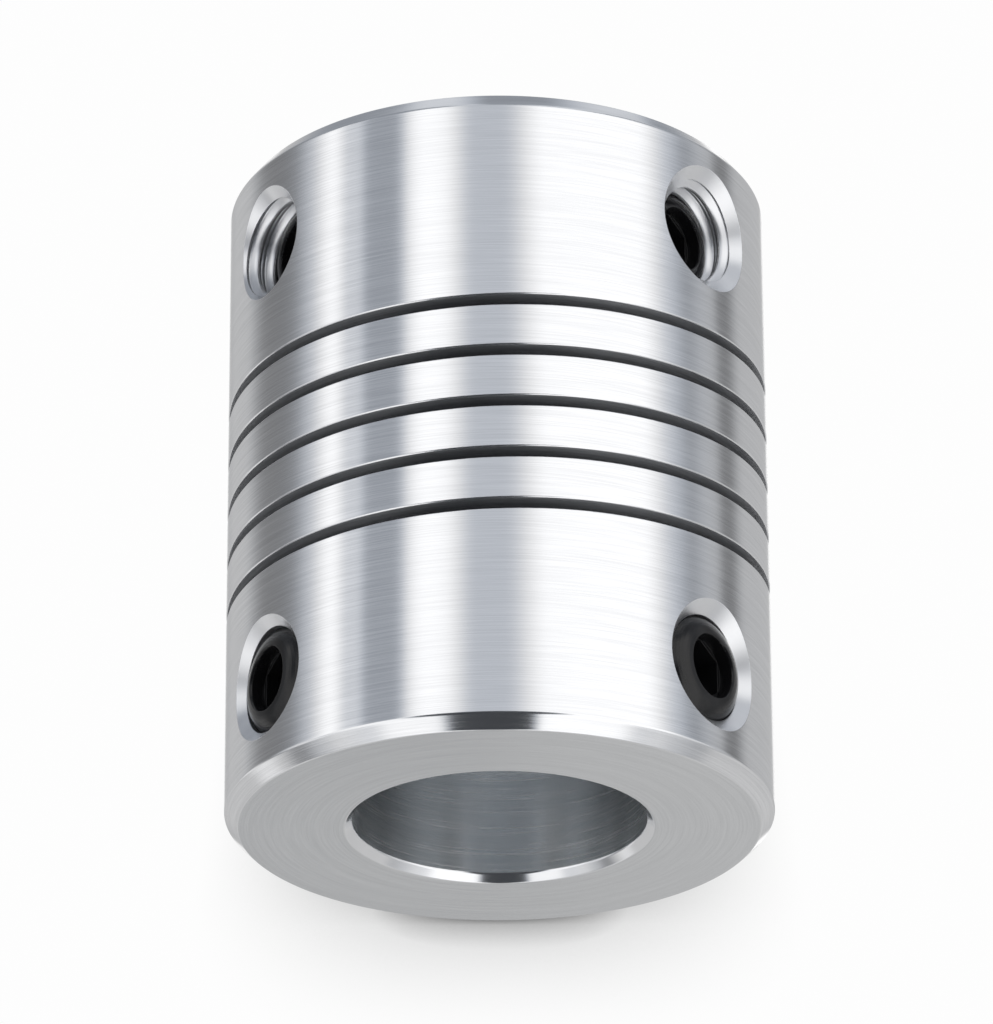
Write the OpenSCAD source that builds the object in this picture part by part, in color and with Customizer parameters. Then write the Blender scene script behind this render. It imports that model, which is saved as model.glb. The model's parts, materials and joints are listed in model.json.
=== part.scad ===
// Helical beam shaft coupling held on its shafts by set screws.
// The axis stands along +Z and the lower end face lies on z = 0.
// The two screws of each hub sit either side of the front, which faces -Y.

/* [Body] */
// Outside diameter of the body
outer_d = 30; // [29:0.5:40]
// Length of the body from end face to end face
body_l = 37.5; // [35:0.5:60]
// Width of the chamfer round both outer rims
rim_chamfer = 0.75; // [0.3:0.05:1.2]

/* [Shaft bores] */
// Diameter of the shaft bore in each hub
bore_d = 16; // [10:0.5:17]
// Width of the chamfer at each bore mouth
mouth_chamfer = 0.45; // [0.2:0.05:1.2]
// How much wider than the bores the relief behind the flexing turns is
relief_extra = 1; // [0.4:0.1:2]
// How far the relief runs past each end of the helical cut
relief_overrun = 0.45; // [0.2:0.05:1]

/* [Helical cut] */
// Width of the cut, measured along the axis
cut_w = 0.6; // [0.3:0.05:0.9]
// Rise of the cut in one turn
cut_pitch = 3; // [2:0.1:3.4]
// Number of turns of the cut
cut_turns = 5; // [3:1:5]
// Diameter of the hole drilled at each end of the cut
cut_end_d = 1; // [0.9:0.1:1.4]

/* [Tapped holes] */
// Angle between the two tapped holes of one hub
hole_angle = 110; // [90:5:150]
// Distance from each end face to the axes of its tapped holes
hole_inset = 5.75; // [5:0.25:6.5]
// Major diameter of the thread
thread_d = 6; // [5:0.5:6.5]
// Width of the countersink round each mouth
countersink_w = 0.65; // [0.3:0.05:0.8]

/* [Set screws] */
// Radial gap between a screw and its hole
screw_gap = 0.03; // [0.02:0.01:0.06]
// How much shorter a screw is than the wall of its hub is thick
screw_shortfall = 2; // [2:0.1:3]
// Depth of the lower screws below the body's surface
lower_screw_depth = 0.3; // [0.2:0.05:1.95]
// Depth of the upper screws below the body's surface
upper_screw_depth = 1.95; // [0.2:0.05:1.95]
// Width of a screw's hexagon socket across its flats
socket_af = 3; // [2:0.5:3]
// Depth of a screw's socket
socket_depth = 2.4; // [1.5:0.1:2.8]
// Width of the chamfer round a screw's outer end
screw_chamfer = 0.5; // [0.2:0.05:0.6]
// Diameter of the hollow cup at a screw's point
cup_d = 3; // [1.5:0.5:3]

/* [Hidden] */
$fn = 96;

outer_r = outer_d / 2;
bore_r = bore_d / 2;
relief_r = bore_r + relief_extra / 2;
hole_r = thread_d / 2;
screw_r = hole_r - screw_gap;
screw_l = outer_r - bore_r - screw_shortfall;
left = -hole_angle / 2;
right = hole_angle / 2;
lower_z = hole_inset;
upper_z = body_l - hole_inset;

cut_rise = cut_turns * cut_pitch;
cut_z0 = (body_l - cut_rise) / 2;
cut_start_angle = 90;
cut_steps_per_turn = 40;
relief_z0 = cut_z0 - cut_end_d / 2 - relief_overrun;
relief_l = body_l - 2 * relief_z0;

// How far cutting tools run past the faces they cut
over = 1;

// Outline of one half of the turned body, without its bores
module body_section() {
    polygon([
        [0, 0],
        [outer_r - rim_chamfer, 0],
        [outer_r, rim_chamfer],
        [outer_r, body_l - rim_chamfer],
        [outer_r - rim_chamfer, body_l],
        [0, body_l]
    ]);
}

// Shaft bore of the lower hub, with the chamfer at its mouth
module shaft_bore() {
    translate([0, 0, -over]) cylinder(h = relief_z0 + 2 * over, r = bore_r);
    translate([0, 0, -over])
        cylinder(h = mouth_chamfer + over, r1 = bore_r + mouth_chamfer + over, r2 = bore_r);
}

// Wider bore behind the turns, so that they flex clear of the shafts
module relief() {
    translate([0, 0, relief_z0]) cylinder(h = relief_l, r = relief_r);
}

// Height of the middle of the cut after so many turns
function cut_z(turns) = cut_z0 + turns * cut_pitch;

// The four corners of the cut's section at one step: inner low, outer low, outer high, inner high
function cut_ring(step, r_in, r_out) =
    let (
        turns = step / cut_steps_per_turn,
        angle = cut_start_angle + 360 * turns,
        z = cut_z(turns)
    )
    [
        for (corner = [[r_in, -1], [r_out, -1], [r_out, 1], [r_in, 1]])
        [corner[0] * cos(angle), corner[0] * sin(angle), z + corner[1] * cut_w / 2]
    ];

// Right-handed helical ribbon that the cut takes out of the wall
module cut_ribbon() {
    steps = round(cut_turns * cut_steps_per_turn);
    points = [
        for (step = [0:steps])
        for (point = cut_ring(step, bore_r - over, outer_r + over)) point
    ];
    sides = [
        for (step = [0:steps - 1])
        for (side = [0:3])
        let (
            a = 4 * step + side,
            b = 4 * step + (side + 1) % 4
        )
        each [[a, b, b + 4], [a, b + 4, a + 4]]
    ];
    last = 4 * steps;
    ends = [[0, 3, 2], [0, 2, 1], [last, last + 1, last + 2], [last, last + 2, last + 3]];
    polyhedron(points = points, faces = concat(sides, ends));
}

// Hole drilled through the wall at one end of the cut
module cut_end(turns) {
    translate([0, 0, cut_z(turns)])
        rotate([0, 0, cut_start_angle + 360 * turns])
        rotate([0, 90, 0])
        cylinder(h = outer_r + over, d = cut_end_d, $fn = 32);
}

// Turns +Z to point out of the body at an angle from the front, at a height
module at_hole(angle, z) {
    translate([0, 0, z]) rotate([0, 0, angle]) rotate([90, 0, 0]) children();
}

// Tapped hole at its major diameter, with the countersink at its mouth
module tapped_hole() {
    cylinder(h = outer_r + over, r = hole_r);
    translate([0, 0, outer_r - countersink_w])
        cylinder(h = countersink_w + over, r1 = hole_r, r2 = hole_r + countersink_w + over);
}

// One-piece aluminium body: two hubs joined by the turns of the helical cut
module body() {
    color([0.80, 0.81, 0.83])
    difference() {
        rotate_extrude() body_section();
        shaft_bore();
        translate([0, 0, body_l]) mirror([0, 0, 1]) shaft_bore();
        relief();
        cut_ribbon();
        cut_end(0);
        cut_end(cut_turns);
        for (z = [lower_z, upper_z])
            for (angle = [left, right])
                at_hole(angle, z) tapped_hole();
    }
}

// Outline of one half of a set screw, point down and outer end at z = 0
module screw_section() {
    cup_r = cup_d / 2;
    cup_depth = cup_r / 2;
    point_r = cup_r + 0.2;
    point_chamfer = screw_r - point_r;
    polygon([
        [0, 0],
        [screw_r - screw_chamfer, 0],
        [screw_r, -screw_chamfer],
        [screw_r, point_chamfer - screw_l],
        [point_r, -screw_l],
        [cup_r, -screw_l],
        [0, cup_depth - screw_l]
    ]);
}

// Hexagon socket with the lead-in chamfer at its mouth
module socket() {
    corner_r = socket_af / 2 / cos(30);
    lead_in = 0.15;
    translate([0, 0, -socket_depth]) cylinder(h = socket_depth + over, r = corner_r, $fn = 6);
    translate([0, 0, -lead_in])
        cylinder(h = lead_in + over, r1 = corner_r, r2 = corner_r + lead_in + over);
}

// Black steel set screw with a cup point, in its hole at a depth below the surface
module set_screw(angle, z, depth) {
    color([0.07, 0.07, 0.08])
    at_hole(angle, z)
    translate([0, 0, outer_r - depth])
    difference() {
        rotate_extrude() screw_section();
        socket();
    }
}

body();
set_screw(left, lower_z, lower_screw_depth);  // set_screw_lower_left
set_screw(right, lower_z, lower_screw_depth);  // set_screw_lower_right
set_screw(left, upper_z, upper_screw_depth);  // set_screw_upper_left
set_screw(right, upper_z, upper_screw_depth);  // set_screw_upper_right
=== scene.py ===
# %% [markdown]
# # A helical beam shaft coupling
#
# The real coupling is turned from one aluminium bar. Two hubs grip two shafts, and a helical cut between
# them leaves a flat spring that lets the shafts sit slightly out of line. Four black set screws, two in each
# hub, press on the shafts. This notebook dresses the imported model, which already has the true sizes: it
# adds the threads, the broken edges, the turning marks and the light.

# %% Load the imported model
import json
import math

import bmesh
import bpy
from mathutils import Matrix, Vector


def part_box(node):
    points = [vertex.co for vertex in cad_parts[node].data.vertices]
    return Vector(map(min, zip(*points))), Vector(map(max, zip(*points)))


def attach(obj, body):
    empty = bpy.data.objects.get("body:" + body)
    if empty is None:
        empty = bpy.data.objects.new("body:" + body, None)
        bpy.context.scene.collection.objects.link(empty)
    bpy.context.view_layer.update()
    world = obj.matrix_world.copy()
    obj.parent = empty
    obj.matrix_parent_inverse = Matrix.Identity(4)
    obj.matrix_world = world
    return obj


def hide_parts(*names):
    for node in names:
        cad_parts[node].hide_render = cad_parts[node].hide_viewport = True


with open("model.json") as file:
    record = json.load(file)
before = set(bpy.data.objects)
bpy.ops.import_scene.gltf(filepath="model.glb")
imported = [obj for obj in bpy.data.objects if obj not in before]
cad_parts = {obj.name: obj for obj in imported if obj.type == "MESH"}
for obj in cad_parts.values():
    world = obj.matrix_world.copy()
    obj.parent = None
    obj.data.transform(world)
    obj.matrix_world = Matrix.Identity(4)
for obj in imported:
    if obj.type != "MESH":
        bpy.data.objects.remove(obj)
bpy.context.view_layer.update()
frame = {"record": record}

# %% [markdown]
# ## Sizes
#
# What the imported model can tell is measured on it, so the new pieces can't drift away from it. The sizes of
# the cut, the threads and the screws are the part's own driving sizes, written once here in millimetres.

# %% Take the sizes of the body
MM = 0.001
QUARTER_TURN = math.radians(90)
body_low, body_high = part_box("body")
mounts = {mount["name"]: mount for mount in frame["record"]["mounts"]}

OUTER_R = (body_high.x - body_low.x) / 2
BODY_L = body_high.z - body_low.z
BORE_R = mounts["lower_bore"]["dims"]["r_mm"] * MM
RIM_CHAMFER = 0.75 * MM
UPPER_RIM_HEIGHT = 0.93 * MM
MOUTH_CHAMFER = 0.45 * MM
RELIEF_EXTRA = 0.5 * MM
RELIEF_R = BORE_R + RELIEF_EXTRA
RELIEF_Z = 10.3 * MM
print("body", round(OUTER_R / MM, 3), "mm radius,", round(BODY_L / MM, 3), "mm long")

# %% Name the sizes of the cut, the holes and the screws
CUT_WIDTH = 0.6 * MM
CUT_PITCH = 3 * MM
CUT_TURNS = 5
CUT_END_R = 0.5 * MM
CUT_Z = (BODY_L - CUT_TURNS * CUT_PITCH) / 2

HOLE_ANGLE = math.radians(55)
HOLE_INSET = 5.75 * MM
COUNTERSINKS = {"lower_left": 0.5 * MM, "lower_right": 0.7 * MM, "upper_left": 0.3 * MM,
                "upper_right": 0.65 * MM}
ROCKED = {"lower_left": 1.09, "lower_right": 1.08, "upper_left": 1, "upper_right": 1.1}
CONE_TIP_R = 2 * MM
PLAIN_R = 2.95 * MM
PLAIN_DEPTHS = {"lower_left": 1.2 * MM, "lower_right": 1.2 * MM}

THREAD_R = 3 * MM
THREAD_PITCH = 1 * MM
THREAD_CREST_R = 2.66 * MM
THREAD_GAP = 0.03 * MM

SCREW_LENGTH = 5 * MM
SCREW_DEPTHS = {"lower": 0.3 * MM, "upper": 1.95 * MM}
SOCKET_FLATS = 3 * MM
SOCKET_DEPTH = 2.4 * MM

# %% [markdown]
# ## Helpers for turned and cut metal
#
# A turned shape is an outline of radius and height points, spun about the axis. A helix is the same
# outline, spun and lifted at once, which is how a lathe cuts a thread. Each cutter is a closed solid, and
# one Boolean modifier for each takes it out of the blank, just as the machine does.

# %% Draw an outline in the plane of the axis
ROUNDING_STEPS = 4
MERGE_DISTANCE = MM / 1000
LONGEST_EDGE = 1.5


def draw_outline(shape, points, closed=True, soften=0):
    """Adds a chain of points to a bmesh: radius, height and, if need be, how far that corner is rounded."""
    corners = [shape.verts.new((point[0], 0, point[1])) for point in points]
    pairs = list(zip(corners, corners[1:]))
    if closed:
        pairs.append((corners[-1], corners[0]))
    for pair in pairs:
        shape.edges.new(pair)
    for corner, point in zip(corners, points):
        rounding = point[2] if len(point) > 2 else soften
        if rounding and len(corner.link_edges) == 2:
            bmesh.ops.bevel(shape, geom=[corner], offset=rounding, offset_type="OFFSET",
                            segments=ROUNDING_STEPS, profile=0.5, affect="VERTICES", material=-1)


def place_shape(name, shape, matrix=None, solid=True):
    """Turns a bmesh into an object whose place is in its mesh, with a solid's faces looking outward."""
    if matrix is not None:
        bmesh.ops.transform(shape, matrix=matrix, verts=shape.verts[:])
    if solid:
        bmesh.ops.recalc_face_normals(shape, faces=shape.faces[:])
    mesh = bpy.data.meshes.new(name)
    shape.to_mesh(mesh)
    shape.free()
    piece = bpy.data.objects.new(name, mesh)
    bpy.context.scene.collection.objects.link(piece)
    return piece


# %% Spin an outline into a turned solid
def turn_solid(name, points, steps, closed=True, soften=0, row=None, matrix=None):
    """Spins an outline about Z, with its corners softened and its long edges divided into rows."""
    shape = bmesh.new()
    draw_outline(shape, points, closed, soften)
    if row:
        for edge in [edge for edge in shape.edges if edge.calc_length() > LONGEST_EDGE * row]:
            bmesh.ops.subdivide_edges(shape, edges=[edge], cuts=int(edge.calc_length() / row))
    bmesh.ops.spin(shape, geom=shape.verts[:] + shape.edges[:], cent=(0, 0, 0), axis=(0, 0, 1),
                   angle=2 * math.pi, steps=steps, use_merge=True)
    bmesh.ops.remove_doubles(shape, verts=shape.verts[:], dist=MERGE_DISTANCE)
    return place_shape(name, shape, matrix)


# %% Sweep an outline along a helix
def sweep_helix(name, points, pitch, turns, steps_per_turn, start_angle=0, start_height=0, matrix=None):
    """Sweeps a closed outline along a right-handed helix about Z."""
    shape = bmesh.new()
    draw_outline(shape, points)
    start = Matrix.Translation((0, 0, start_height)) @ Matrix.Rotation(start_angle, 4, "Z")
    bmesh.ops.transform(shape, matrix=start, verts=shape.verts[:])
    bmesh.ops.spin(shape, geom=shape.verts[:] + shape.edges[:], cent=(0, 0, 0), axis=(0, 0, 1),
                   dvec=(0, 0, pitch / steps_per_turn), angle=2 * math.pi * turns,
                   steps=round(turns * steps_per_turn))
    ends = [edge for edge in shape.edges if edge.is_boundary]
    bmesh.ops.holes_fill(shape, edges=ends, sides=0)
    return place_shape(name, shape, matrix)


# %% Take cutters out of a blank
def cut_away(blank, cutters):
    """Subtracts each cutter from the blank, keeps the result as a plain mesh and drops the cutters."""
    for cutter in cutters:
        boolean = blank.modifiers.new(cutter.name, "BOOLEAN")
        boolean.operation = "DIFFERENCE"
        boolean.solver = "MANIFOLD"
        boolean.object = cutter
    evaluated = blank.evaluated_get(bpy.context.evaluated_depsgraph_get())
    finished = bpy.data.meshes.new_from_object(evaluated)
    blank.modifiers.clear()
    blank.data = finished
    for cutter in cutters:
        bpy.data.objects.remove(cutter)
    print(blank.name, "has", len(finished.polygons), "faces")
    return blank


# %% [markdown]
# ## Smooth faces that stay round
#
# A cut leaves odd little faces along its edges. Shaded smooth, they would ripple in a mirror-like metal.
# Each face of a turned surface can be given the exact normals of that surface instead. Its slope against
# the axis is kept, and the direction around the axis comes from each corner's own place. A thread's flank
# is the same, but it also climbs as it goes round, so its normals keep the small sideways part.

# %% Give turned and threaded faces their exact normals
ON_SURFACE = 0.015 * MM
FACING_OUT = 0.999
UPRIGHT = 0.01


def split_normal(normal, place, axis):
    """Parts of a normal along an axis (start, direction), away from it and around it."""
    away = away_from_axis(place, axis)
    return normal.dot(axis[1]), normal.dot(away), normal.dot(axis[1].cross(away))


def away_from_axis(place, axis):
    """Unit vector from the nearest point of an axis to a place."""
    offset = place - axis[0]
    return (offset - axis[1] * offset.dot(axis[1])).normalized()


def find_axis(polygon, main_axis, holes, skins):
    """The hole axis that a face belongs to, or the main one for the skins and all else."""
    center = polygon.center
    distance = math.hypot(center.x, center.y)
    outward = split_normal(polygon.normal, center, main_axis)[1]
    on_skin = abs(outward) > FACING_OUT and any(abs(distance - skin) < ON_SURFACE for skin in skins)
    if on_skin:
        return main_axis
    for hole in holes:
        offset = center - hole[0]
        along = offset.dot(hole[1])
        if along > 0 and (offset - hole[1] * along).length < hole[2]:
            return hole
    return main_axis


def shade_turned(piece, main_axis, holes=(), skins=(), finish=None, flat_within=0):
    """Gives each face the exact normals of its turned surface; a socket's flats keep their own."""
    mesh = piece.data
    normals = [Vector((0, 0, 1))] * len(mesh.loops)
    for polygon in mesh.polygons:
        polygon.use_smooth = True
        axis = find_axis(polygon, main_axis, holes, skins)
        rise, outward, sideways = split_normal(polygon.normal, polygon.center, axis)
        offset = polygon.center - axis[0]
        distance = (offset - axis[1] * offset.dot(axis[1])).length
        if finish:
            polygon.material_index = finish(axis is not main_axis, rise, distance, polygon.center.z)
        is_flat = abs(rise) < UPRIGHT and distance < flat_within
        for corner in polygon.loop_indices:
            if is_flat:
                normals[corner] = polygon.normal.copy()
                continue
            place = mesh.vertices[mesh.loops[corner].vertex_index].co
            away = away_from_axis(place, axis)
            around = axis[1].cross(away)
            normals[corner] = (axis[1] * rise + away * outward + around * sideways).normalized()
    mesh.normals_split_custom_set(normals)


# %% [markdown]
# ## The body
#
# The body is one solid. Its blank is turned first, with the corners broken by a few hundredths of a
# millimetre as a careful turner leaves them, because those tiny rounds catch the bright lines along every
# edge. The cut's section is wider at the mouth for the same reason.

# %% Turn the blank
LATHE_STEPS = 288
EDGE_BREAK = 0.07 * MM
ROW = 1.2 * MM


def body_outline():
    """Outline of the wall: outer face, both rims, both bores and the relief between them."""
    return [
        (BORE_R + MOUTH_CHAMFER, 0),
        (OUTER_R - RIM_CHAMFER, 0),
        (OUTER_R, RIM_CHAMFER),
        (OUTER_R, BODY_L - UPPER_RIM_HEIGHT),
        (OUTER_R - RIM_CHAMFER, BODY_L),
        (BORE_R + MOUTH_CHAMFER, BODY_L),
        (BORE_R, BODY_L - MOUTH_CHAMFER),
        (BORE_R, BODY_L - RELIEF_Z),
        (RELIEF_R, BODY_L - RELIEF_Z),
        (RELIEF_R, RELIEF_Z),
        (BORE_R, RELIEF_Z),
        (BORE_R, MOUTH_CHAMFER),
    ]


body = turn_solid("coupling_body", body_outline(), LATHE_STEPS, soften=EDGE_BREAK, row=ROW)

# %% Make the cutter for the helical cut
LIP = 0.05 * MM
CLEAR = 0.3 * MM
CUT_STEPS = 144
CUT_END_STEPS = 48
CUT_END_REACH = 2 * MM
BACK = QUARTER_TURN


def cut_section():
    """Section of the cut: straight walls, with a small flare where they meet the outer face."""
    half = CUT_WIDTH / 2
    inner = BORE_R - 2 * CLEAR
    outer = OUTER_R + CLEAR
    flare = half + LIP + CLEAR
    return [(inner, -half), (OUTER_R - LIP, -half), (outer, -flare),
            (outer, flare), (OUTER_R - LIP, half), (inner, half)]


def cut_end_matrix(turns):
    """Turns +Z to point out of the body where the cut ends after so many turns."""
    angle = BACK + 2 * math.pi * turns
    return (Matrix.Translation((0, 0, CUT_Z + turns * CUT_PITCH))
            @ Matrix.Rotation(angle, 4, "Z") @ Matrix.Rotation(QUARTER_TURN, 4, "Y"))


def cut_end_cutter(turns):
    """Small drilled hole that ends the cut after so many turns."""
    flare_z = OUTER_R - LIP
    foot = RELIEF_R - CUT_END_REACH
    outline = [(0, foot), (CUT_END_R, foot), (CUT_END_R, flare_z),
               (CUT_END_R + LIP + CLEAR, OUTER_R + CLEAR), (0, OUTER_R + CLEAR)]
    return turn_solid(f"cut_end_{turns}", outline, CUT_END_STEPS, closed=False,
                      matrix=cut_end_matrix(turns))


helical_cutter = sweep_helix("helical_cutter", cut_section(), CUT_PITCH, CUT_TURNS, CUT_STEPS,
                             start_angle=BACK, start_height=CUT_Z)
cut_cutters = [helical_cutter, cut_end_cutter(0), cut_end_cutter(CUT_TURNS)]

# %% [markdown]
# ## Tapped holes
#
# A metric thread has sides that lean 30 degrees from square, a flat of an eighth of the pitch at its full
# diameter and a flat of a quarter at its small one. The screws' groove is that shape, swept along a helix.
# The tap's tooth has worn, rounded corners and sides that lean 40 degrees, which is what lets the light out
# of the hole in wide bands. The groove runs half a pitch further on, so that crest sits in root, and it ends
# below the screw's chamfer.

# %% Describe where each hole is
HOLES = {
    "lower_left": (-HOLE_ANGLE, HOLE_INSET),
    "lower_right": (HOLE_ANGLE, HOLE_INSET),
    "upper_left": (-HOLE_ANGLE, BODY_L - HOLE_INSET),
    "upper_right": (HOLE_ANGLE, BODY_L - HOLE_INSET),
}
THREAD_TURN = {"lower_left": 0.3, "lower_right": 0.55, "upper_left": 0.14, "upper_right": 0.93}


def hole_matrix(hole):
    """Turns +Z to point out of the body along a hole, from a point on the body's axis."""
    angle, height = HOLES[hole]
    return (Matrix.Translation((0, 0, height)) @ Matrix.Rotation(angle, 4, "Z")
            @ Matrix.Rotation(QUARTER_TURN, 4, "X"))


def axis_of(matrix, reach):
    """The axis that a matrix turns +Z to, with the reach around it that its faces lie in."""
    return matrix.to_translation(), (matrix.to_3x3() @ Vector((0, 0, 1))).normalized(), reach


# %% Make the drill and the tap
HOLE_STEPS = 72
THREAD_STEPS = 48
THREAD_START = 6 * MM
THREAD_TURNS = 11
FLANK = math.tan(math.radians(30))
TAP_FLANK = math.tan(math.radians(40))
FOOT_ROUND = 0.17 * MM
TIP_ROUND = 0.04 * MM
TIP_HALF = THREAD_PITCH / 16
TOOTH_HALF = 0.47 * THREAD_PITCH
TOOTH_BACK = 4 * THREAD_GAP
DRILL_GAP = 0.01 * MM
PLAIN_CONE = 0.2 * MM


def drill_cutter(hole):
    """Drill at the thread's small diameter, with a plain mouth on the lower holes."""
    drill_r = THREAD_CREST_R - DRILL_GAP
    top = OUTER_R + CLEAR
    mouth = [(drill_r, top)]
    if hole in PLAIN_DEPTHS:
        plain_end = OUTER_R - PLAIN_DEPTHS[hole]
        mouth = [(drill_r, plain_end - PLAIN_CONE), (PLAIN_R, plain_end), (PLAIN_R, top)]
    outline = [(0, THREAD_START), (drill_r, THREAD_START), *mouth, (0, top)]
    return turn_solid("drill_" + hole, outline, HOLE_STEPS, closed=False, matrix=hole_matrix(hole))


def countersink_cutter(hole):
    """Cone of the deburring tool, which a hand rocks from side to side round the curve of the body."""
    top = OUTER_R + CLEAR
    cone_foot = OUTER_R - COUNTERSINKS[hole] - THREAD_R
    tip = cone_foot + CONE_TIP_R
    outline = [(0, tip), (CONE_TIP_R, tip), (top - cone_foot, top), (0, top)]
    rocked = hole_matrix(hole) @ Matrix.Diagonal((ROCKED[hole], 1, 1, 1))
    return turn_solid("countersink_" + hole, outline, HOLE_STEPS, closed=False, matrix=rocked)


def tap_cutter(hole):
    """Tooth of the tap, rounded at its tip and its feet, swept from the bore to outside the body."""
    deep = THREAD_R + THREAD_GAP / 2
    foot = TIP_HALF + (deep - THREAD_CREST_R) * TAP_FLANK
    inside = THREAD_CREST_R - TOOTH_BACK
    tooth = [(inside, -TOOTH_HALF), (THREAD_CREST_R, -TOOTH_HALF),
             (THREAD_CREST_R, -foot, FOOT_ROUND), (deep, -TIP_HALF, TIP_ROUND),
             (deep, TIP_HALF, TIP_ROUND), (THREAD_CREST_R, foot, FOOT_ROUND),
             (THREAD_CREST_R, TOOTH_HALF), (inside, TOOTH_HALF)]
    turns = THREAD_TURNS
    if hole in PLAIN_DEPTHS:
        turns = (OUTER_R - PLAIN_DEPTHS[hole] - THREAD_START) / THREAD_PITCH
    return sweep_helix("tap_" + hole, tooth, THREAD_PITCH, turns, THREAD_STEPS,
                       start_angle=2 * math.pi * THREAD_TURN[hole], start_height=THREAD_START,
                       matrix=hole_matrix(hole))


hole_cutters = [make(hole) for make in (drill_cutter, countersink_cutter, tap_cutter) for hole in HOLES]

# %% Sort the body's faces by finish
TURNED, CUT, CHAMFERED, BORED, FACED, SAWN_AND_SHADED = range(6)
CHAMFER_RISES = (0.6, 0.8)
BORE_RISE = 0.1
FACE_RISE = 0.9


def sort_finish(in_hole, rise, distance, height):
    """The finish of a face, from where it lies and how steeply it rises along the body's axis."""
    if in_hole:
        return CUT
    if CHAMFER_RISES[0] < abs(rise) < CHAMFER_RISES[1]:
        return CHAMFERED
    if abs(rise) < BORE_RISE and distance < RELIEF_R + LIP:
        return BORED
    if abs(rise) > FACE_RISE:
        # Walls of the helical cut get the dark finish that paints the shade inside the cut.
        return SAWN_AND_SHADED if CUT_WIDTH < height < BODY_L - CUT_WIDTH else FACED
    return TURNED


# %% Cut the body
cut_away(body, cut_cutters + hole_cutters)
WHOLE = 2 * OUTER_R
hole_axes = [axis_of(hole_matrix(hole), THREAD_R + COUNTERSINKS[hole] + 2 * LIP) for hole in HOLES]
hole_axes += [axis_of(cut_end_matrix(turns), CUT_END_R + 2 * LIP) for turns in (0, CUT_TURNS)]
body_axis = (Vector((0, 0, 0)), Vector((0, 0, 1)), WHOLE)
shade_turned(body, body_axis, hole_axes, (OUTER_R, BORE_R, RELIEF_R), sort_finish)
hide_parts("body")
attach(body, "root")

# %% [markdown]
# ## Set screws
#
# Each screw is a short threaded rod: a chamfered outer end with a hexagon socket, and a hollow cup at the
# point that bites into the shaft. The outer edge of the real ones is rounded over, and the socket has a
# round mouth that leads the key in.

# %% Describe the screw's outline
SCREW_R = THREAD_R - THREAD_GAP
SCREW_ROOT_R = 2.39 * MM
SCREW_CHAMFER = 0.5 * MM
CUP_R = 1.5 * MM
CUP_RIM = 0.2 * MM
CROWN = 0.15 * MM
GROOVE_END = 0.55 * MM
MOUTH_R = 1.82 * MM
MOUTH_FOOT_R = 1.74 * MM
MOUTH_CONE = 0.12 * MM
MOUTH_DEPTH = 0.9 * MM
EDGE_ROUND = 0.08 * MM
FACE_ROUND = 0.4 * MM


def screw_outline():
    """Outline of a screw, outer end at height 0 and point down."""
    point_r = CUP_R + CUP_RIM
    return [
        (0, -MOUTH_DEPTH),
        (MOUTH_FOOT_R, -MOUTH_DEPTH),
        (MOUTH_FOOT_R, -MOUTH_CONE, EDGE_ROUND),
        (MOUTH_R, 0, EDGE_ROUND),
        (SCREW_R - SCREW_CHAMFER, -CROWN, FACE_ROUND),
        (SCREW_R, -CROWN - SCREW_CHAMFER, EDGE_ROUND),
        (SCREW_R, SCREW_R - point_r - SCREW_LENGTH),
        (point_r, -SCREW_LENGTH),
        (CUP_R, -SCREW_LENGTH),
        (0, CUP_R / 2 - SCREW_LENGTH),
    ]


# %% Make the socket's broach and the die for the thread
SOCKET_SIDES = 6
HALF_SIDE = math.radians(30)


def broach_cutter(matrix):
    """Six-sided broach that forms the socket."""
    shape = bmesh.new()
    corner_r = SOCKET_FLATS / 2 / math.cos(HALF_SIDE)
    bmesh.ops.create_cone(shape, cap_ends=True, segments=SOCKET_SIDES, radius1=corner_r,
                          radius2=corner_r, depth=SOCKET_DEPTH + CLEAR)
    raise_it = Matrix.Translation((0, 0, (CLEAR - SOCKET_DEPTH) / 2))
    return place_shape("broach", shape, matrix @ raise_it)


def die_cutter(hole, matrix, depth):
    """Groove of the screw's thread, in step with the tapped hole."""
    root = THREAD_PITCH / 8
    outside = SCREW_R + THREAD_GAP
    mouth = root + (outside - SCREW_ROOT_R) * FLANK
    groove = [(SCREW_ROOT_R, -root), (outside, -mouth), (outside, mouth), (SCREW_ROOT_R, root)]
    bottom = THREAD_START - (OUTER_R - depth) + THREAD_PITCH / 2
    top = -CROWN - SCREW_CHAMFER - GROOVE_END
    return sweep_helix("die", groove, THREAD_PITCH, (top - bottom) / THREAD_PITCH, THREAD_STEPS,
                       start_angle=2 * math.pi * THREAD_TURN[hole],
                       start_height=bottom, matrix=matrix)


# %% Make the four screws
def make_screw(hole):
    """One screw, in its hole at the depth where it was left."""
    depth = SCREW_DEPTHS[hole.split("_")[0]]
    matrix = hole_matrix(hole) @ Matrix.Translation((0, 0, OUTER_R - depth))
    screw = turn_solid("screw_" + hole, screw_outline(), HOLE_STEPS, closed=False, matrix=matrix)
    cut_away(screw, [broach_cutter(matrix), die_cutter(hole, matrix, depth)])
    shade_turned(screw, axis_of(hole_matrix(hole), WHOLE), flat_within=MOUTH_FOOT_R - LIP)
    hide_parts("set_screw_" + hole)
    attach(screw, "root")
    return screw


screws = [make_screw(hole) for hole in HOLES]

# %% [markdown]
# ## Writing materials as sums
#
# A material is a small calculation that runs at every point of a surface. The class below wraps one socket
# and lets ordinary Python signs add the Math nodes, so that a pattern reads as the formula that it is.

# %% Wrap sockets so that they add and multiply
# Places of the Mix node's colour sockets, which share their names with its number sockets.
FIRST_COLOUR = 6
SECOND_COLOUR = 7
MIXED_COLOUR = 2


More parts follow.
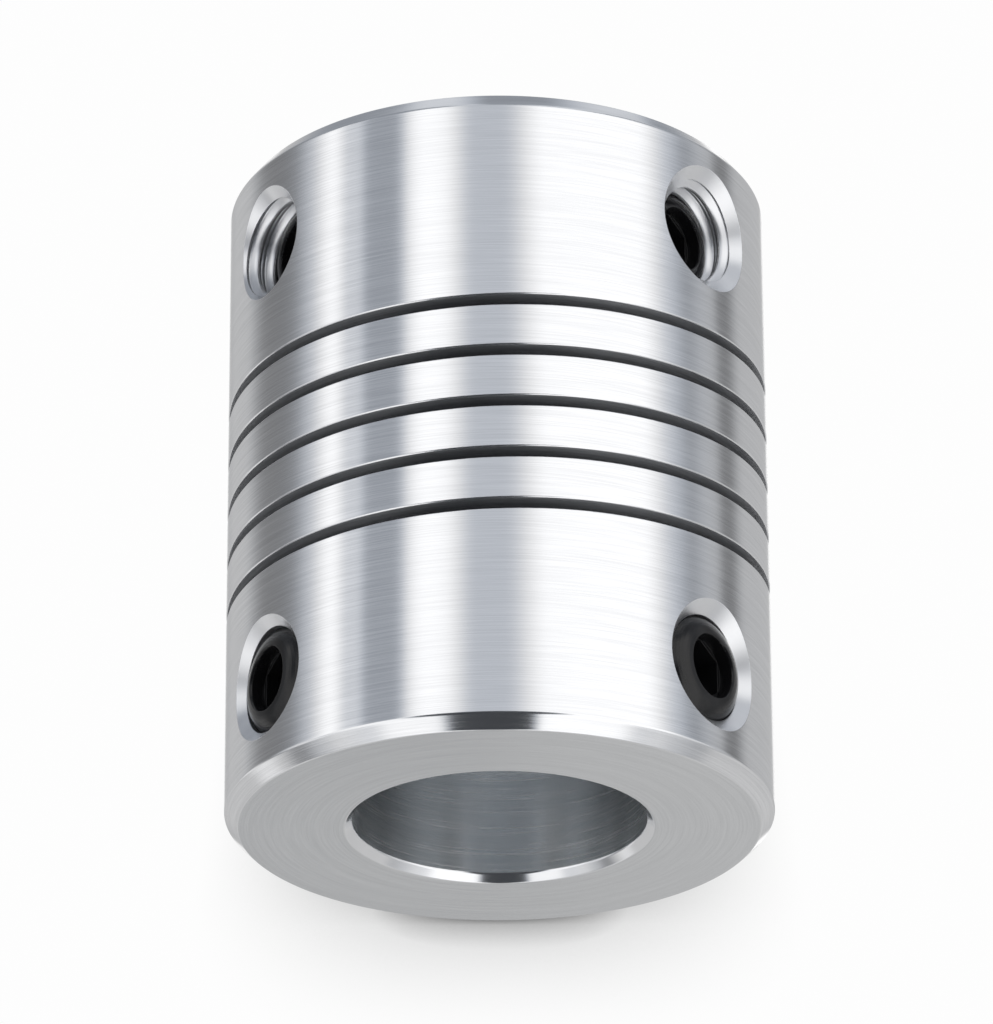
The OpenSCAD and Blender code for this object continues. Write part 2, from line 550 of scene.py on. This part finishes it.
class Signal:
    """One value in a material, written with ordinary operators."""

    def __init__(self, graph, socket):
        self.graph = graph
        self.socket = socket

    def _math(self, operation, *values):
        return self.graph.node("ShaderNodeMath", {"operation": operation}, values)

    def __add__(self, other):
        return self._math("ADD", self, other)

    def __sub__(self, other):
        return self._math("SUBTRACT", self, other)

    def __rsub__(self, other):
        return self._math("SUBTRACT", other, self)

    def __mul__(self, other):
        return self._math("MULTIPLY", self, other)

    __rmul__ = __mul__

    def root(self):
        """Square root of the value."""
        return self._math("SQRT", self)

    def power(self, exponent):
        """The value raised to a power."""
        return self._math("POWER", self, exponent)

    def size(self):
        """The value without its sign."""
        return self._math("ABSOLUTE", self)

    def ramp(self, start, end):
        """Climbs smoothly from 0 to 1 while the value goes from start to end."""
        return self.graph.node("ShaderNodeMapRange", {"interpolation_type": "SMOOTHSTEP"}, {
            "Value": self, "From Min": start, "From Max": end})


class Graph:
    """The node tree of a material or a world, with one method that adds any node."""

    def __init__(self, owner):
        owner.use_nodes = True
        self.owner = owner
        self.nodes = owner.node_tree.nodes
        self.links = owner.node_tree.links

    def node(self, kind, settings=None, values=(), output=0):
        """Adds a node, sets its settings, then feeds its inputs by index or by name."""
        added = self.nodes.new(kind)
        for setting, value in (settings or {}).items():
            setattr(added, setting, value)
        pairs = values.items() if isinstance(values, dict) else enumerate(values)
        for key, value in pairs:
            self.feed(added.inputs[key], value)
        return Signal(self, added.outputs[output])

    def feed(self, socket, value):
        """Links a signal to a socket, or writes a plain value there."""
        if isinstance(value, Signal):
            self.links.new(value.socket, socket)
        else:
            socket.default_value = value

    def blend(self, factor, first, second):
        """Mixes two colours by a factor."""
        return self.node("ShaderNodeMix", {"data_type": "RGBA"}, {
            "Factor": factor, FIRST_COLOUR: first, SECOND_COLOUR: second}, output=MIXED_COLOUR)

    def finish(self, values):
        """Feeds the main shader's sockets by name and returns the material."""
        for socket, value in values.items():
            self.feed(self.nodes["Principled BSDF"].inputs[socket], value)
        return self.owner


# %% [markdown]
# ## Turned aluminium
#
# A lathe tool leaves rings around the axis on every face that it turns. The rings are a noise pattern that
# is stretched far along the circle and squeezed across it: it reads the plain place for the first, and the
# height plus the radius for the second, which changes across a side, a chamfer and an end face alike. The
# marks also spread each reflection across themselves, which is the anisotropic setting of the shader. The
# chamfers were cut with a sharper tool, the bore with a coarser one, the end faces with a finer one and the
# helix with a slitting saw, so they get finishes of their own. The walls of the helical cut are also much
# darker in tone than bare aluminium: that is painted shade, for the shadow down inside the narrow cut.

# %% Measure a point against the body's axis
def read_place(graph):
    """Object coordinates of the point, and its distance from the body's axis."""
    place = graph.node("ShaderNodeTexCoord", output="Object")
    split = graph.node("ShaderNodeSeparateXYZ", values=[place])
    x, y, z = [Signal(graph, socket) for socket in split.socket.node.outputs]
    return x, y, z, (x * x + y * y).root()


def ring_noise(graph, across, along, detail, offset=0):
    """Noise in rings: features 1/across mm wide and about 1/along mm long."""
    x, y, z, radius = read_place(graph)
    stretched = graph.node("ShaderNodeCombineXYZ", values=[
        x * (along / MM), y * (along / MM), (z + radius) * (across / MM) + offset])
    return graph.node("ShaderNodeTexNoise", values={
        "Vector": stretched, "Scale": 1.0, "Detail": detail, "Roughness": 0.55})


# %% Make the lathe finishes
EDGE_RADIUS = 0.05 * MM
RIDGE_HEIGHT = 0.02 * MM
STREAKS = (0.3, 0.7)
FINE_SHARE = 0.75
WIDE_SHARE = 0.25
ROUGHER = 0.04


def soft_edges(graph):
    """Normals that round every edge by a hair, as deburring does."""
    return graph.node("ShaderNodeBevel", {"samples": 4}, {"Radius": EDGE_RADIUS}, output="Normal")


def lathe_finish(name, fine_across, dark, light, smoothest, ridge=0.06):
    """Aluminium with rings: tone and roughness both follow the marks."""
    graph = Graph(bpy.data.materials.new(name))
    fine = ring_noise(graph, fine_across, along=0.2, detail=2)
    wide = ring_noise(graph, fine_across / 4, along=0.05, detail=1, offset=40)
    streaks = (fine * FINE_SHARE + wide * WIDE_SHARE).ramp(*STREAKS)
    marks = graph.node("ShaderNodeBump", values={"Strength": ridge, "Distance": RIDGE_HEIGHT,
                                                 "Height": fine, "Normal": soft_edges(graph)},
                       output="Normal")
    tone = graph.blend(streaks, (*dark, 1), (*light, 1))
    return graph.finish({"Base Color": tone, "Metallic": 1.0, "Roughness": streaks * ROUGHER + smoothest,
                         "Anisotropic": 0.8, "Anisotropic Rotation": 0.25, "Normal": marks})


turned = lathe_finish("turned_aluminium", fine_across=14, dark=(0.79, 0.80, 0.82),
                      light=(0.92, 0.93, 0.95), smoothest=0.15)
chamfered = lathe_finish("chamfered_aluminium", fine_across=12, dark=(0.80, 0.81, 0.83),
                         light=(0.92, 0.93, 0.95), smoothest=0.1)
bored = lathe_finish("bored_aluminium", fine_across=8, dark=(0.84, 0.88, 0.91),
                     light=(0.98, 0.99, 1.0), smoothest=0.24)
faced = lathe_finish("faced_aluminium", fine_across=14, dark=(0.80, 0.81, 0.82),
                     light=(0.88, 0.89, 0.90), smoothest=0.2, ridge=0.02)
# The cut's walls are far darker than the other finishes: the tone is painted shade for the inside of the
# narrow cut, and the higher roughness is the saw's.
sawn_and_shaded = lathe_finish("sawn_aluminium_painted_shade", fine_across=9, dark=(0.40, 0.41, 0.43),
                    light=(0.52, 0.53, 0.55), smoothest=0.5)

# %% [markdown]
# ## Freshly cut holes
#
# The countersinks and threads were cut about the holes' own axes, so their fine marks run round those. The
# holes mirror each other, left to right and top to bottom, so one pattern serves all four: it folds a point
# over into the first hole and measures how far that lies from the hole's axis and along it.

# %% Make the cut aluminium
MARKS_ALONG = 0.2 / MM
MARKS_ACROSS = 6 / MM
CUT_SMOOTHEST = 0.28
CUT_ROUGHER = 0.08


def cut_aluminium():
    """Bright aluminium of the countersinks, the threads and the drilled ends of the cut."""
    graph = Graph(bpy.data.materials.new("cut_aluminium"))
    x, y, z, _ = read_place(graph)
    folded_x = x.size()
    folded_z = (z - BODY_L / 2).size() - (BODY_L / 2 - HOLE_INSET)
    depth = folded_x * math.sin(HOLE_ANGLE) - y * math.cos(HOLE_ANGLE)
    across = folded_x * math.cos(HOLE_ANGLE) + y * math.sin(HOLE_ANGLE)
    radius = (across * across + folded_z * folded_z).root()
    rings = graph.node("ShaderNodeCombineXYZ", values=[
        across * MARKS_ALONG, folded_z * MARKS_ALONG, (radius - depth) * MARKS_ACROSS])
    noise = graph.node("ShaderNodeTexNoise", values={
        "Vector": rings, "Scale": 1.0, "Detail": 2.0, "Roughness": 0.5})
    streaks = noise.ramp(*STREAKS)
    tone = graph.blend(streaks, (0.80, 0.81, 0.83, 1), (0.91, 0.92, 0.94, 1))
    return graph.finish({"Base Color": tone, "Metallic": 1.0,
                         "Roughness": streaks * CUT_ROUGHER + CUT_SMOOTHEST,
                         "Normal": soft_edges(graph)})


def dress(piece, finishes):
    """Fills a piece's material slots and keeps the slot that each face has chosen."""
    chosen = [polygon.material_index for polygon in piece.data.polygons]
    piece.data.materials.clear()
    for finish in finishes:
        piece.data.materials.append(finish)
    piece.data.polygons.foreach_set("material_index", chosen)


dress(body, [turned, cut_aluminium(), chamfered, bored, faced, sawn_and_shaded])
for slot, material in enumerate(body.data.materials):
    faces = sum(polygon.material_index == slot for polygon in body.data.polygons)
    print(material.name, "on", faces, "faces")

# %% [markdown]
# ## Black oxide
#
# The screws are steel with a thin black oxide, which is dark all over but still shines where it is smooth.

# %% Make the black oxide
OXIDE_SMOOTHEST = 0.14
OXIDE_ROUGHER = 0.1


def black_oxide():
    """Blackened steel with a soft shine."""
    graph = Graph(bpy.data.materials.new("black_oxide"))
    place = graph.node("ShaderNodeTexCoord", output="Object")
    mottle = graph.node("ShaderNodeTexNoise", values={
        "Vector": place, "Scale": 1.5 / MM, "Detail": 3.0, "Roughness": 0.6})
    tone = graph.blend(mottle, (0.007, 0.007, 0.008, 1), (0.014, 0.014, 0.015, 1))
    return graph.finish({"Base Color": tone, "Roughness": OXIDE_ROUGHER * mottle + OXIDE_SMOOTHEST,
                         "Specular IOR Level": 0.4, "Normal": soft_edges(graph)})


oxide = black_oxide()
for screw in screws:
    dress(screw, [oxide])

# %% [markdown]
# ## Camera
#
# The photograph was taken through a long lens from below, so the lower end face and its bore are in view.

# %% Place the camera
CAMERA_TURN = math.radians(3.4)
CAMERA_BACK = 345.4 * MM
CAMERA_DROP = 134.2 * MM
CAMERA_AIM = math.radians(0.013)
CAMERA_PITCH = math.radians(23.9)
CAMERA_ROLL = math.radians(0.316)
LENS_MM = 239.1
SENSOR_MM = 36
CLIP_START = 0.01

camera_data = bpy.data.cameras.new("camera")
camera_data.lens = LENS_MM
camera_data.sensor_width = SENSOR_MM
camera_data.clip_start = CLIP_START
camera = bpy.data.objects.new("camera", camera_data)
bpy.context.scene.collection.objects.link(camera)
look = (Matrix.Rotation(CAMERA_TURN, 4, "Z")
        @ Matrix.Translation((0, -CAMERA_BACK, -CAMERA_DROP))
        @ Matrix.Rotation(CAMERA_AIM, 4, "Z")
        @ Matrix.Rotation(QUARTER_TURN + CAMERA_PITCH, 4, "X")
        @ Matrix.Rotation(-CAMERA_ROLL, 4, "Z"))
camera.matrix_world = look
bpy.context.scene.camera = camera
print("camera with a lens of", LENS_MM, "mm")

# %% [markdown]
# ## Studio
#
# Polished metal shows nothing but its surroundings, so the bright bands on the side are the photographer's
# softboxes. A side that stands upright, seen from below, mirrors what stands around the object at the same
# slant above the horizon. The world here is that studio: a grey room, softboxes at chosen directions around
# the camera's own, and a black card low in front that the lower rim picks up as a dark stripe.

# %% List the softboxes
# Each box starts and ends at a direction in degrees around from the camera, and each of its two sides has a
# half width over which it fades. The last number is its brightness, below zero for a black card. The boxes
# overhead start and end at a part of the way to the right instead, from -1 to 1.
SIDE_BOXES = [
    (-175, 2, -170, 2, 0.42),
    (-169, 3, -157, 4, -0.05),
    (-200, 1, -127, 9, 0.27),
    (-118, 6, -101, 4, -0.04),
    (-91, 8, -59, 3, 0.38),
    (-81, 6, -70, 4, 0.5),
    (-63, 10, -23, 6, 0.1),
    (-38, 7, -16, 7, 0.5),
    (-40, 4, 85, 7, 0.33),
    (12, 10, 72, 9, 0.58),
    (92, 8, 108, 4, 0.22),
    (109, 3, 119, 3, -0.05),
    (122, 6, 200, 1, 0.24),
    (167, 2, 174, 2, 0.65),
]
LOW_BOXES = [
    (-200, 1, -98, 6, 0.51),
    (-200, 1, -165, 5, -0.13),
    (-128, 4, -118, 3, 0.24),
    (-112, 3, -103, 3, -0.3),
    (-97, 6, -37, 5, 0.7),
    (-72, 4, -37, 5, 0.33),
    (27, 5, 78, 5, 0.45),
    (27, 5, 97, 6, 0.68),
    (103, 3, 111, 3, -0.15),
    (98, 6, 200, 1, 0.52),
    (165, 5, 200, 1, -0.05),
]
OVERHEAD_BOXES = [
    (-0.2, 0.02, -0.06, 0.05, 0.36),
    (0.17, 0.06, 0.4, 0.02, 0.36),
]
WHITE = 0.985
ROOM_GREY = 0.26
CARD_GREY = 0.06
CEILING_GREY = 0.32
SHADE_TINT = (0.93, 0.985, 1.08, 1)
BOX_TINT = (1, 0.995, 0.99, 1)

# Heights are the sine of the angle above the horizon, and each pair is where a part fades in.
BELOW_HEIGHTS = (0.25, -0.1)
ABOVE_HEIGHTS = (0.62, 0.78)
HIGH_HEIGHTS = (0.78, 0.83)
BEHIND_DEGREES = (75, 115)
TINT_LEVELS = (0.4, 0.95)
BEHIND_TINT = 0.8

# %% Build the world
studio = bpy.data.worlds.new("studio")
bpy.context.scene.world = studio
graph = Graph(studio)
direction = graph.node("ShaderNodeTexCoord", output="Generated")
aim = graph.node("ShaderNodeVectorRotate", {"rotation_type": "Z_AXIS"}, {
    "Vector": direction, "Angle": -CAMERA_TURN})
parts = graph.node("ShaderNodeSeparateXYZ", values=[aim]).socket.node.outputs
right, away, height = [Signal(graph, socket) for socket in parts]
around = graph.node("ShaderNodeMath", {"operation": "ARCTAN2"}, [right, 0 - away])
turn_degrees = around * math.degrees(1)


def add_boxes(heading, boxes, level):
    """Adds the softboxes along one heading to a base level of light."""
    for start, start_edge, end, end_edge, brightness in boxes:
        rise = heading.ramp(start - start_edge, start + start_edge)
        fall = heading.ramp(end + end_edge, end - end_edge)
        level = rise * fall * brightness + level
    return level


side = add_boxes(turn_degrees, SIDE_BOXES, ROOM_GREY)
low = add_boxes(turn_degrees, LOW_BOXES, CARD_GREY)
overhead = add_boxes(right, OVERHEAD_BOXES, CEILING_GREY)
below = height.ramp(*BELOW_HEIGHTS)
above = height.ramp(*ABOVE_HEIGHTS)
high_above = height.ramp(*HIGH_HEIGHTS)
level = side + (low - side) * below
level = level + (CEILING_GREY - level) * above
level = level + (overhead - CEILING_GREY) * high_above
behind = turn_degrees.size().ramp(*BEHIND_DEGREES)
tinted = level.ramp(*TINT_LEVELS) + behind * (1 - above) * BEHIND_TINT
tint = graph.blend(tinted, SHADE_TINT, BOX_TINT)
room = graph.node("ShaderNodeBackground", values={"Color": tint, "Strength": level})
white = graph.node("ShaderNodeBackground", values={"Color": (1, 1, 1, 1), "Strength": WHITE})
camera_ray = graph.node("ShaderNodeLightPath", output="Is Camera Ray")
seen = graph.node("ShaderNodeMixShader", values=[camera_ray, room, white])
graph.feed(graph.nodes["World Output"].inputs["Surface"], seen)

bpy.context.scene.view_settings.view_transform = "Standard"
print("studio with", len(SIDE_BOXES) + len(LOW_BOXES) + len(OVERHEAD_BOXES), "boxes and cards")

# %% [markdown]
# ## Floor
#
# The floor is there for the object's shadow. The camera of the photograph is below the floor, where a plane
# that is seen from behind is simply left clear. In that view the object looks as if it leans on its far rim,
# so a second plane touches that rim steeply and takes the soft shadow. Both glow white, a little less where
# the object stands close over them, and no ray but the camera's own meets them, so no light is lost below.

# %% Make the floor's paper
SOFT_REACH = 8 * MM
SOFT_DEPTH = 0.78
SOFT_POWER = 1.6
CLOSE_REACH = 1.7 * MM
CLOSE_DEPTH = 0.42


def nearness(paper, reach):
    """How much of the view up from a point of the paper the object fills within a reach."""
    return 1 - paper.node("ShaderNodeAmbientOcclusion", {"samples": 16}, {"Distance": reach}, output="AO")


def shadow_paper():
    """White paper that only the camera sees, from its front."""
    paper = Graph(bpy.data.materials.new("shadow_paper"))
    soft = nearness(paper, SOFT_REACH).power(SOFT_POWER)
    shadow = soft * SOFT_DEPTH + nearness(paper, CLOSE_REACH) * CLOSE_DEPTH
    lit = paper.node("ShaderNodeEmission", values={"Color": (1, 1, 1, 1), "Strength": WHITE - shadow})
    clear = paper.node("ShaderNodeBsdfTransparent")
    camera_ray = paper.node("ShaderNodeLightPath", output="Is Camera Ray")
    backside = paper.node("ShaderNodeNewGeometry", output="Backfacing")
    shown = paper.node("ShaderNodeMixShader", values=[camera_ray * (1 - backside), clear, lit])
    paper.feed(paper.nodes["Material Output"].inputs["Surface"], shown)
    return paper.owner


FLOOR_SIZE = 1.2
FLOOR_DROP = 0.2 * MM
paper_material = shadow_paper()


def lay_paper(name, matrix):
    shape = bmesh.new()
    bmesh.ops.create_grid(shape, x_segments=1, y_segments=1, size=FLOOR_SIZE / 2)
    sheet = place_shape(name, shape, matrix, solid=False)
    sheet.data.materials.append(paper_material)
    sheet.visible_shadow = False
    return sheet


LEAN = math.radians(84)
lay_paper("floor", Matrix.Translation((0, 0, -FLOOR_DROP)))
lay_paper("leaning_floor", Matrix.Rotation(CAMERA_TURN, 4, "Z")
          @ Matrix.Translation((0, OUTER_R + LIP, RIM_CHAMFER)) @ Matrix.Rotation(LEAN, 4, "X"))
